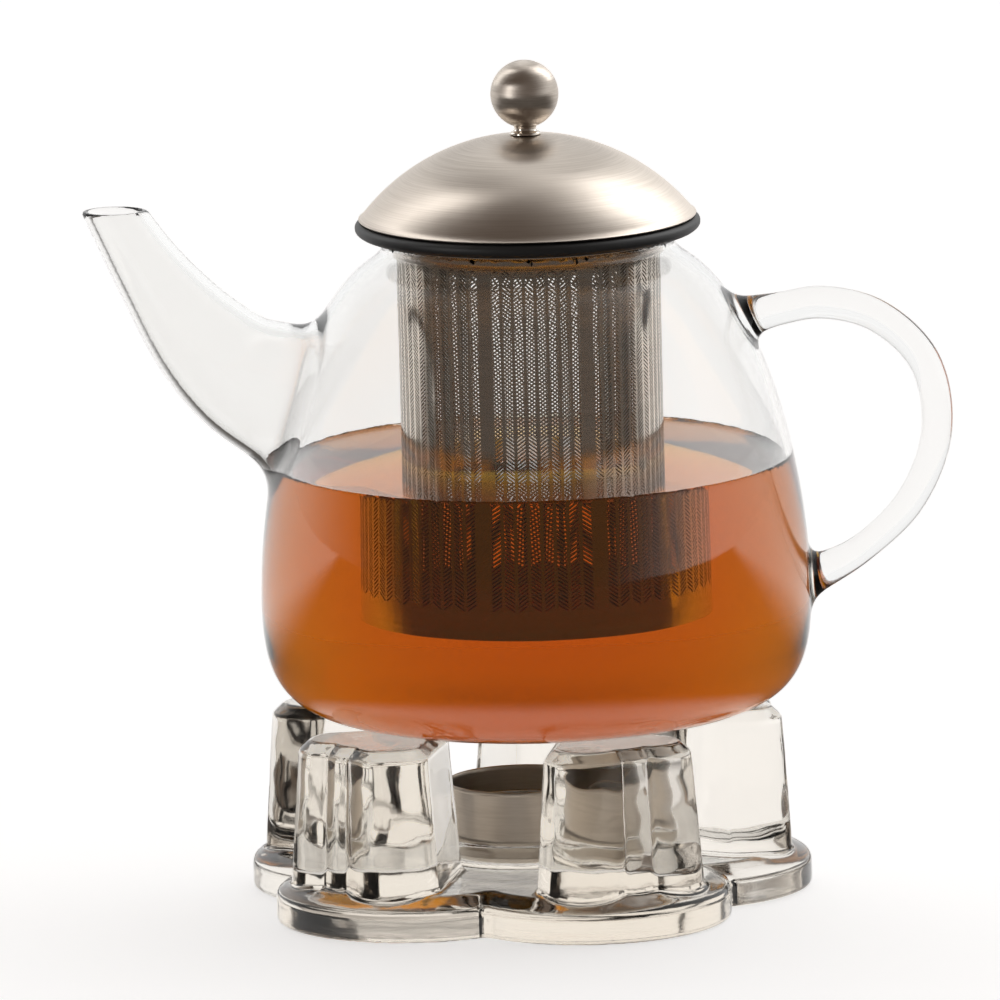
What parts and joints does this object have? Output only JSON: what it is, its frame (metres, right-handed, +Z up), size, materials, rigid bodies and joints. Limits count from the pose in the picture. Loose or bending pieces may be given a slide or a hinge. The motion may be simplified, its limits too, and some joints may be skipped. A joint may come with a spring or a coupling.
{
  "type": "glass teapot",
  "caption": "Glass teapot with a curved spout, rod handle, steel infuser basket and domed lid, standing on a pressed-glass warmer with a candle cup.",
  "frame": {"origin": "middle of the warmer's flat underside, on the surface it stands on", "axes": "+Z up, +X towards the handle, -X towards the spout"},
  "size_m": [0.2307, 0.1503, 0.2258],
  "materials": {
    "pot_glass": "clear blown borosilicate",
    "warmer_glass": "clear pressed glass",
    "polished_steel": "polished stainless steel",
    "brushed_steel": "brushed in rings round the axis",
    "black_plastic": "satin black",
    "aluminium_foil": "thin pressed sheet",
    "wax": "white paraffin wax",
    "cotton": "braided cotton"
  },
  "bodies": {
    "warmer": {"warmer_plate": "warmer_glass", "warmer_pillar_1": "warmer_glass", "warmer_pillar_2": "warmer_glass", "warmer_pillar_3": "warmer_glass", "warmer_pillar_4": "warmer_glass", "warmer_pillar_5": "warmer_glass", "candle_seat": "warmer_glass"},
    "candle_cup": {"candle_cup": "polished_steel"},
    "tealight": {"tealight_shell": "aluminium_foil", "wick_tab": "aluminium_foil", "tealight_wax": "wax", "wick": "cotton"},
    "pot": {"pot_body": "pot_glass", "spout": "pot_glass", "handle": "pot_glass"},
    "infuser": {"infuser_collar": "polished_steel", "infuser_sleeve": "polished_steel", "infuser_bottom": "polished_steel"},
    "lid": {"lid_ring": "black_plastic", "lid_skirt": "polished_steel", "lid_dome": "brushed_steel", "knob_stem": "polished_steel", "lid_knob": "brushed_steel", "knob_washer": "polished_steel", "knob_screw": "polished_steel"}
  },
  "joints": [
    {"name": "pot_lift", "type": "slide", "parent": "warmer", "child": "pot", "axis": [0, 0, 1], "range_m": [0, 0.08]},
    {"name": "infuser_lift", "type": "slide", "parent": "pot", "child": "infuser", "axis": [0, 0, 1], "range_m": [0, 0.12]},
    {"name": "lid_lift", "type": "slide", "parent": "infuser", "child": "lid", "axis": [0, 0, 1], "range_m": [0, 0.05]},
    {"name": "cup_lift", "type": "slide", "parent": "warmer", "child": "candle_cup", "axis": [0, 0, 1], "range_m": [0, 0.012]},
    {"name": "tealight_lift", "type": "slide", "parent": "candle_cup", "child": "tealight", "axis": [0, 0, 1], "range_m": [0, 0.008]}
  ]
}
